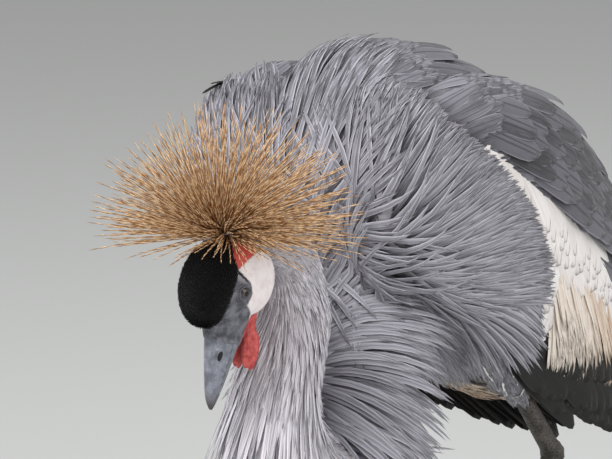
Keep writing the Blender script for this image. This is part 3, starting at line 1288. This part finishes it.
# Pad that the crest grows from, in the head's own frame
PAD_AT, PAD_HALF = Vector((-0.034, 0, 0.010)), Vector((0.014, 0.019, 0.018))
CREST_AXIS, CREST_SPREAD, CREST_LENGTH = Vector((-0.93, 0.05, 0.36)), math.radians(94), 0.104
CREST_STATIONS, CREST_TWIST = 22, 34.0
GOLDEN_TURN = math.pi * (3 - math.sqrt(5))  # spreads points evenly over a ball
CAP_TUFT_COUNT = 9000  # tufts over the whole ball of the cap, of which its black part is kept
BILL_STEPS = 40
# Ridges of the lids round each eye: radius, how far out they stand, thickness
LID_RIDGES = ((0.0050, 0.0046, 0.00060), (0.0064, 0.0034, 0.00085), (0.0079, 0.0016, 0.00070))
# Lobes of the wattle on each side: shift from its place, and shares of its half sizes
LOBES = (((0, 0, 0.0014), (1.0, 0.80, 0.62)), ((0.0040, 0.0012, -0.0034), (0.80, 0.74, 0.52)))
LOBE_LEAN = math.radians(9)


def make_crest(sizes):
    """A dense fan of stiff twisted bristles."""
    draw = random.Random(88)
    shares = [k / (CREST_STATIONS - 1) for k in range(CREST_STATIONS)]
    outline = [1.0 - 0.45 * share for share in shares]
    outline[-1] = 0.0
    coat = Coat(shares, outline, 0.0003, 0.0, CREST_TWIST)
    axis = CREST_AXIS.normalized()
    across = axis.cross(Z_AXIS).normalized()
    other = axis.cross(across)
    count = sizes.bristles
    for k in range(count):
        lean = CREST_SPREAD * math.sqrt((k + 0.5) / count)
        turn = k * GOLDEN_TURN
        way = axis * math.cos(lean) + (across * math.cos(turn) + other * math.sin(turn)) * math.sin(lean)
        way = (way + random_way(draw) * 0.07).normalized()
        seat = PAD_AT + Vector((way.x * PAD_HALF.x, way.y * PAD_HALF.y, way.z * PAD_HALF.z)) * 0.7
        root = HEAD @ seat
        start = HEAD.to_3x3() @ way
        end = (start + random_way(draw) * 0.13 - Z_AXIS * 0.05).normalized()
        reach = CREST_LENGTH * draw.uniform(0.72, 1.0) - 0.010
        line, ups = bowed(root, start, end, reach, shares, start.orthogonal().normalized())
        half, patch = draw.uniform(0.0006, 0.0009), (0.5 + 0.4 * way.y, 0.5 + 0.4 * way.z)
        coat.add(line, ups, half, patch, draw.random())
    coat.made("crest_bristles", bristle_finish(), "crest_straw", ["crest"])


def make_cap_velvet(cover):
    """Short plush over the swollen black cap."""
    draw = random.Random(99)
    coat = Coat(*SHORT, 0.0003, 0.2)
    back = HEAD.to_3x3() @ Vector((-1, 0, 0.1))
    for k in range(CAP_TUFT_COUNT):
        rise = 1 - 2 * (k + 0.5) / CAP_TUFT_COUNT
        turn = k * GOLDEN_TURN
        ring = math.sqrt(1 - rise * rise)
        way = Vector((ring * math.cos(turn), ring * math.sin(turn), rise))
        seat = CAP_AT + Vector((way.x * CAP_HALF.x, way.y * CAP_HALF.y, way.z * CAP_HALF.z))
        if seat.z < cap_edge_at(seat.x) or seat.x > CAP_TIP:
            continue
        spot, normal, _, _ = cover.find_nearest(HEAD @ seat)
        lie = (back - normal * back.dot(normal)).normalized()
        start = (normal * 0.9 + lie * 0.5 + random_way(draw) * 0.25).normalized()
        end, reach = (start + lie * 0.7).normalized(), draw.uniform(0.0030, 0.0042)
        line, ups = bowed(spot - normal * 0.0008, start, end, reach, coat.shares, lie)
        coat.add(line, ups, 0.00045, (0.5 + 0.45 * way.y, 0.5 + 0.45 * way.x), draw.random())
    coat.made("cap_velvet", velvet_finish(), "velvet_black", ["head"])


def hump(away, spread, power=2):
    """A smooth rise of height 1 where the distance away is nought."""
    return math.exp(-((away / spread) ** power))


def shaped_bill(place, upper):
    """A point of a bill half's swept tube, moved onto its real section, in the head's own frame."""
    gape, width, above, below = row_at(BILL, place.x)
    reach = above if upper else below
    middle = gape + (reach / 2 if upper else -reach / 2)
    share = (place.z - middle) / (reach / 2)
    turn = math.atan2(share if upper else -share, place.y / width)
    turn = max(0.0, turn) if turn > -math.pi / 2 else math.pi
    height = math.sin(turn) if turn > 0 else 0.0
    ridge = 0.06 * max(0.0, 1 - abs(math.cos(turn)) / 0.25)
    place.y = width * math.cos(turn) * (1 - 0.10 * height * upper)
    place.z = gape + (reach * (height + ridge * upper) + 0.00015) * (1 if upper else -1)
    if upper:
        from_groove = (turn if turn < 1.57 else math.pi - turn) - GROOVE_TURN
        groove = hump(place.x - NOSTRIL_AT.x - 0.004, 0.013) * hump(from_groove, 0.22)
        place.y -= math.copysign(GROOVE_DEPTH * groove, place.y)
        hole = hump(place.x - NOSTRIL_AT.x, 0.0036, 4) * hump(from_groove, 0.10)
        place.y -= math.copysign(HOLE_DEPTH * hole, place.y)
    return place


def make_bill():
    """Both halves of the bill, with a ridge, a long nostril groove and the pale gape edge."""
    inverse, root, length = HEAD.inverted(), BILL[0][0], BILL[-1][0] - BILL[0][0]
    for name, upper in (("upper", True), ("lower", False)):
        mesh, rings = bmesh.new(), []
        for forward in [root + length * k / BILL_STEPS for k in range(BILL_STEPS + 1)]:
            gape, width, above, below = row_at(BILL, forward)
            reach = above if upper else below
            centre = Vector((forward, 0, gape + (reach / 2 if upper else -reach / 2)))
            rings.append(HEAD @ ring_matrix(centre, Y_AXIS * width, Z_AXIS * reach / 2, X_AXIS))
        for vertex in sweep(mesh, rings, 36):
            vertex.co = HEAD @ shaped_bill(inverse @ vertex.co, upper)
        bmesh.ops.recalc_face_normals(mesh, faces=mesh.faces)
        piece = new_piece(f"bill_{name}_horn", mesh)
        forward = np.array([(inverse @ vertex.co).x for vertex in piece.data.vertices])
        store(piece.data, "tip", (forward - root) / length)
        finish_piece(piece, horn_finish(), [f"bill_{name}"])
    mesh = bmesh.new()
    for side in SIDES.values():
        centre = mirrored(NOSTRIL_AT, side) - Vector((0, side * 0.0018, 0))
        ellipsoid(mesh, centre, NOSTRIL_HALF, HEAD, 16, 10)
    dark = Recipe("nostril_dark", 0.8).colour(srgb(8, 7, 8))
    finish_piece(new_piece("nostril_linings", mesh), dark, ["bill_upper"])


def eye_pose(side):
    """Places an eye's own frame, whose +Z is the way it looks."""
    gaze = Vector((0.16, side, 0.06)).normalized()
    turned = gaze.to_track_quat("Z", "Y").to_matrix().to_4x4()
    return HEAD @ Matrix.Translation(mirrored(EYE_AT, side)) @ turned


def make_eyeballs():
    """Two glossy eyes, each with its iris round the way it looks."""
    for name, side in SIDES.items():
        mesh, place = bmesh.new(), eye_pose(side)
        bmesh.ops.create_uvsphere(mesh, u_segments=48, v_segments=40, radius=EYE_R, matrix=place)
        piece = new_piece(f"eyeball_{name}", mesh)
        inverse = place.inverted()
        local = np.array([(inverse @ vertex.co)[:] for vertex in piece.data.vertices])
        gaze = np.hypot(local[:, 0], local[:, 1]) / IRIS_R
        gaze[local[:, 2] < 0] = 2.0
        store(piece.data, "gaze", gaze)
        finish_piece(piece, eye_finish(), [f"eye_{name}"])


def make_eyelids():
    """Three spun ridges of skin round each eye."""
    mesh = bmesh.new()
    for side in SIDES.values():
        socket = eye_pose(side) @ Matrix.Diagonal((1.0, 1.12, 1.0, 1.0))
        for radius, depth, tube in LID_RIDGES:
            ring = bmesh.ops.create_circle(mesh, segments=12, radius=tube)["verts"]
            edges = list({edge for vertex in ring for edge in vertex.link_edges})
            bmesh.ops.rotate(mesh, verts=ring, matrix=Matrix.Rotation(math.pi / 2, 3, "X"))
            bmesh.ops.translate(mesh, verts=ring, vec=(radius, 0, depth))
            bmesh.ops.spin(
                mesh, geom=ring + edges, axis=(0, 0, 1), cent=(0, 0, 0), steps=48,
                angle=2 * math.pi, use_merge=True,
            )
            loose = {vertex for vertex in mesh.verts if not vertex.tag}
            bmesh.ops.transform(mesh, matrix=socket, verts=list(loose))
            for vertex in loose:
                vertex.tag = True
    bmesh.ops.remove_doubles(mesh, verts=mesh.verts, dist=1e-6)
    bmesh.ops.recalc_face_normals(mesh, faces=mesh.faces)
    finish_piece(new_piece("eyelids", mesh), lid_finish(), ["head"])


def make_wattle():
    """Two hanging lobes, each folded lengthwise round a dark crease."""
    mesh = bmesh.new()
    lean = Matrix.Rotation(LOBE_LEAN, 4, "Y")
    for side in SIDES.values():
        for shift, share in LOBES:
            place = mirrored(LOBE_AT + Vector(shift), side)
            half = Vector([size * part for size, part in zip(LOBE_HALF, share)])
            ellipsoid(mesh, Vector(), half, HEAD @ Matrix.Translation(place) @ lean, 40, 28)
    ellipsoid(mesh, FOLD_AT, FOLD_HALF, HEAD, 32, 20)
    piece = fused(new_piece("wattle_lobes", mesh), 0.0006, 3)
    inverse = HEAD.inverted()
    for vertex in piece.data.vertices:
        place = inverse @ vertex.co
        fold = math.sin(place.z * 1100 + place.x * 300) * 0.0004
        place.y += math.copysign(fold, place.y) * min(1.0, abs(place.y) / 0.003)
        vertex.co = HEAD @ place
    finish_piece(piece, wattle_finish(), ["wattle"])


# Legs and feet


FOOT_PAD_HALF = Vector((0.0095, 0.0110, 0.0098))
BONE_STEP = 0.0012  # distance between the rings of a bare leg
TOE_STEPS, CLAW_STEPS = 24, 8


def make_legs():
    """Bare shanks, hocks and tarsi with ridged front scales, and feet with pads and claws."""
    finish, horn = leg_finish(), claw_finish()
    for name, side in SIDES.items():
        knee, hock, joint = (outward(point, side) for point in LEGS[name])
        start = knee + (hock - knee) * (THIGH_SHARE - 0.06)
        above = hock - (hock - knee).normalized() * 0.012
        fall = (joint - hock).normalized()
        bones = [start, above, hock, hock + fall * 0.014, hock + fall * 0.03, joint]
        radii = [SHANK_R * 1.1, SHANK_R * 1.25, HOCK_R, HOCK_R * 0.86, TARSUS_R * 1.12, TARSUS_R * 1.2]
        mesh = bmesh.new()
        rings = []
        points, sizes = along_bones(bones, radii, BONE_STEP)
        for i, (point, radius) in enumerate(zip(points, sizes)):
            ahead = points[min(i + 1, len(points) - 1)] - points[max(i - 1, 0)]
            ridge = 1 + 0.035 * math.cos(i * 2 * math.pi / 3)
            rings.append(round_ring(point, ahead.normalized(), radius * ridge))
        sweep(mesh, rings, 24)
        bare = new_piece(f"bare_leg_{name}", mesh)
        finish_piece(bare, finish, [f"shank_{name}", f"tarsus_{name}"])
        make_foot(name, side, joint, finish, horn)


def along_bones(bones, radii, step):
    """Evenly spaced points and radii on a rounded way through the bones' ends."""
    points, sizes = [], []
    for low, high, first, last in zip(bones, bones[1:], radii, radii[1:]):
        count = max(1, int((high - low).length / step))
        for k in range(count):
            share = k / count
            points.append(low.lerp(high, share))
            sizes.append(first + (last - first) * (3 * share**2 - 2 * share**3))
    points.append(bones[-1])
    sizes.append(radii[-1])
    for _ in range(5):
        eased = [(a + b * 2 + c) / 4 for a, b, c in zip(points, points[1:], points[2:])]
        points = [points[0], *eased, points[-1]]
    return points, sizes


def make_foot(name, side, joint, finish, horn):
    """A foot's pad, three front toes and raised hind toe, fused, with its claws as their own piece."""
    mesh, claws = bmesh.new(), bmesh.new()
    ellipsoid(mesh, Vector((joint.x, joint.y - 0.004, 0.0100)), FOOT_PAD_HALF, Matrix.Identity(4), 24, 16)
    for turn, length, radius in TOES:
        away = Vector((math.sin(turn * side), -math.cos(turn * side), 0))
        rings = []
        for k in range(TOE_STEPS + 1):
            share = k / TOE_STEPS
            size = radius * (1.12 - 0.55 * share + 0.09 * math.cos(share * 6 * math.pi))
            height = max(size, 0.0115 * (1 - share * 3.2))
            rings.append(round_ring(Vector((joint.x, joint.y, height)) + away * length * share, away, size))
        sweep(mesh, rings, 20)
        add_claw(claws, Vector((joint.x, joint.y, radius * 0.52)) + away * length * 0.97, away, CLAW_R)
    back = Vector((0, 1, 0))
    rings = []
    for share, rise, size in ((0, 0, 0.0055), (0.5, 0.001, 0.0045), (1.0, -0.003, 0.0032)):
        centre = Vector((joint.x, joint.y, 0.013)) + back * HIND_TOE_LENGTH * share + Z_AXIS * rise
        rings.append(round_ring(centre, back, size))
    sweep(mesh, rings, 18)
    add_claw(claws, Vector((joint.x, joint.y + HIND_TOE_LENGTH, 0.0100)), Vector((0, 0.93, -0.36)), 0.0024)
    foot = fused(new_piece(f"foot_skin_{name}", mesh), 0.0010, 3)
    for vertex in foot.data.vertices:
        vertex.co.z = max(vertex.co.z, 0.0)
    finish_piece(foot, finish, [f"foot_{name}"])
    finish_piece(new_piece(f"claws_{name}", claws), horn, [f"foot_{name}"])


def add_claw(mesh, tip, away, radius):
    """A claw that tapers and drops from the tip of a toe."""
    rings = []
    for k in range(CLAW_STEPS + 1):
        share = k / CLAW_STEPS
        drop = Z_AXIS * (0.0008 * math.sin(share * math.pi) - 0.0012 * share)
        centre = tip + away * CLAW_LENGTH * (share * 1.15 - 0.15) + drop
        rings.append(round_ring(centre, away, max(radius * (1 - share) ** 0.8, 0.0003)))
    sweep(mesh, rings, 14)


# Stage


# Soft lamps: name, place, size in metres, and the value of the light group that gives its power
LAMPS = (
    ("key_light", (-0.6, -2.6, 3.0), 1.6, "key"),
    ("fill_light", (2.8, -1.2, 1.8), 2.2, "fill"),
    ("rim_light", (1.2, 2.6, 2.4), 1.6, "rim"),
)
LAMP_TARGET = Vector((0, -0.05, 0.38))


def make_stage(light):
    """A plain pale floor, an even sky, three soft lamps and the camera."""
    scene = bpy.context.scene
    mesh = bmesh.new()
    bmesh.ops.create_grid(mesh, x_segments=1, y_segments=1, size=40)
    floor = new_piece("studio_floor", mesh)
    recipe = Recipe("pale_floor", 0.9)
    floor.data.materials.append(recipe.colour((0.62, 0.63, 0.62)))
    world = bpy.data.worlds.new("studio")
    scene.world = world
    world.use_nodes = True
    world.node_tree.nodes["Background"].inputs["Color"].default_value = (1.0, 1.0, 1.0, 1)
    world.node_tree.nodes["Background"].inputs["Strength"].default_value = light.sky
    for name, place, size, key in LAMPS:
        data = bpy.data.lights.new(name, "AREA")
        data.energy, data.size = getattr(light, key), size
        lamp = bpy.data.objects.new(name, data)
        lamp.location = place
        lamp.rotation_euler = (LAMP_TARGET - Vector(place)).to_track_quat("-Z", "Y").to_euler()
        scene.collection.objects.link(lamp)
    data = bpy.data.cameras.new("photo_view")
    data.lens, data.sensor_width, data.clip_end = CAMERA_LENS, 36.0, 100.0
    camera = bpy.data.objects.new("photo_view", data)
    camera.location = CAMERA_EYE + ORIGIN_SHIFT
    camera.rotation_euler = (CAMERA_TARGET - CAMERA_EYE).to_track_quat("-Z", "Y").to_euler()
    scene.collection.objects.link(camera)
    scene.camera = camera
    scene.view_settings.view_transform = "Standard"


# Add-on layout


class CranePlumage(bpy.types.PropertyGroup):
    """How dense the plumage and the crest are."""

    strap_gap: bpy.props.FloatProperty(
        name="Strap gap", description="Distance between neighbouring body feathers",
        default=0.0042, unit="LENGTH",
    )
    bristles: bpy.props.IntProperty(
        name="Bristles", description="How many bristles the crest has", default=760
    )


class CraneLight(bpy.types.PropertyGroup):
    """How bright the studio is."""

    key: bpy.props.FloatProperty(name="Key", description="Power of the key light in watts", default=115.0)
    fill: bpy.props.FloatProperty(name="Fill", description="Power of the fill light in watts", default=48.0)
    rim: bpy.props.FloatProperty(name="Rim", description="Power of the rim light in watts", default=30.0)
    sky: bpy.props.FloatProperty(name="Sky", description="Strength of the even light all round", default=0.42)


class CRANE_OT_skin(bpy.types.Operator):
    """Make the skin under the plumage"""

    bl_idname = "crane.skin"
    bl_label = "Skin"

    def execute(self, context):
        make_skin()
        return {"FINISHED"}


class CRANE_OT_body(bpy.types.Operator):
    """Make the straps, mantle, tertials and belly feathers"""

    bl_idname = "crane.body"
    bl_label = "Body plumage"

    def execute(self, context):
        make_body_plumage(bpy.data.objects["crane_skin"], context.scene.crane_plumage)
        return {"FINISHED"}


class CRANE_OT_scapulars(bpy.types.Operator):
    """Make the grey scapulars that roof the wings"""

    bl_idname = "crane.scapulars"
    bl_label = "Scapulars"

    def execute(self, context):
        make_scapulars(tree_of(bpy.data.objects["crane_skin"]))
        return {"FINISHED"}


class CRANE_OT_coverts(bpy.types.Operator):
    """Make the white coverts and straw plumes"""

    bl_idname = "crane.coverts"
    bl_label = "Coverts and plumes"

    def execute(self, context):
        make_wing_coverts(tree_of(bpy.data.objects["crane_skin"]))
        return {"FINISHED"}


class CRANE_OT_flight(bpy.types.Operator):
    """Make the primaries, secondaries and tail feathers"""

    bl_idname = "crane.flight"
    bl_label = "Flight feathers"

    def execute(self, context):
        make_flight_feathers()
        return {"FINISHED"}


class CRANE_OT_neck(bpy.types.Operator):
    """Make the neck's fine feathers and hackles"""

    bl_idname = "crane.neck"
    bl_label = "Neck plumage"

    def execute(self, context):
        make_neck_plumage(bpy.data.objects["crane_skin"])
        return {"FINISHED"}


class CRANE_OT_thighs(bpy.types.Operator):
    """Make the short feathers of the thighs"""

    bl_idname = "crane.thighs"
    bl_label = "Thigh plumage"

    def execute(self, context):
        make_thigh_plumage()
        return {"FINISHED"}


class CRANE_OT_crest(bpy.types.Operator):
    """Make the crest's bristles"""

    bl_idname = "crane.crest"
    bl_label = "Crest"

    def execute(self, context):
        make_crest(context.scene.crane_plumage)
        return {"FINISHED"}


class CRANE_OT_cap(bpy.types.Operator):
    """Make the plush of the cap"""

    bl_idname = "crane.cap"
    bl_label = "Velvet cap"

    def execute(self, context):
        make_cap_velvet(tree_of(bpy.data.objects["crane_skin"]))
        return {"FINISHED"}


class CRANE_OT_bill(bpy.types.Operator):
    """Make both halves of the bill and the nostrils"""

    bl_idname = "crane.bill"
    bl_label = "Bill"

    def execute(self, context):
        make_bill()
        return {"FINISHED"}


class CRANE_OT_eyes(bpy.types.Operator):
    """Make the eyeballs and the lids"""

    bl_idname = "crane.eyes"
    bl_label = "Eyes"

    def execute(self, context):
        make_eyeballs()
        make_eyelids()
        return {"FINISHED"}


class CRANE_OT_wattle(bpy.types.Operator):
    """Make the red lobes under the bill"""

    bl_idname = "crane.wattle"
    bl_label = "Wattle"

    def execute(self, context):
        make_wattle()
        return {"FINISHED"}


class CRANE_OT_legs(bpy.types.Operator):
    """Make the bare legs, feet and claws"""

    bl_idname = "crane.legs"
    bl_label = "Legs and feet"

    def execute(self, context):
        make_legs()
        return {"FINISHED"}


class CRANE_OT_stage(bpy.types.Operator):
    """Make the floor, lights and camera"""

    bl_idname = "crane.stage"
    bl_label = "Stage"

    def execute(self, context):
        make_stage(context.scene.crane_light)
        return {"FINISHED"}


OPERATORS = (
    CRANE_OT_skin, CRANE_OT_body, CRANE_OT_scapulars, CRANE_OT_coverts, CRANE_OT_flight,
    CRANE_OT_neck, CRANE_OT_thighs, CRANE_OT_crest, CRANE_OT_cap, CRANE_OT_bill,
    CRANE_OT_eyes, CRANE_OT_wattle, CRANE_OT_legs, CRANE_OT_stage,
)


class CRANE_PT_panel(bpy.types.Panel):
    """Lists the crane's parts"""

    bl_idname = "CRANE_PT_panel"
    bl_label = "Grey Crowned Crane"
    bl_space_type = "VIEW_3D"
    bl_region_type = "UI"
    bl_category = "Crane"

    def draw(self, context):
        for group in (context.scene.crane_plumage, context.scene.crane_light):
            for key in group.__annotations__:
                self.layout.prop(group, key)
        for operator in OPERATORS:
            self.layout.operator(operator.bl_idname)


CLASSES = (CranePlumage, CraneLight, *OPERATORS, CRANE_PT_panel)


def register():
    for item in CLASSES:
        bpy.utils.register_class(item)
    bpy.types.Scene.crane_plumage = bpy.props.PointerProperty(type=CranePlumage)
    bpy.types.Scene.crane_light = bpy.props.PointerProperty(type=CraneLight)


def unregister():
    del bpy.types.Scene.crane_light
    del bpy.types.Scene.crane_plumage
    for item in reversed(CLASSES):
        bpy.utils.unregister_class(item)


def main():
    """Registers the add-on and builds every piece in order."""
    register()
    bpy.ops.crane.skin()
    bpy.ops.crane.body()
    bpy.ops.crane.scapulars()
    bpy.ops.crane.coverts()
    bpy.ops.crane.flight()
    bpy.ops.crane.neck()
    bpy.ops.crane.thighs()
    bpy.ops.crane.crest()
    bpy.ops.crane.cap()
    bpy.ops.crane.bill()
    bpy.ops.crane.eyes()
    bpy.ops.crane.wattle()
    bpy.ops.crane.legs()
    bpy.ops.crane.stage()


if __name__ == "__main__":
    main()
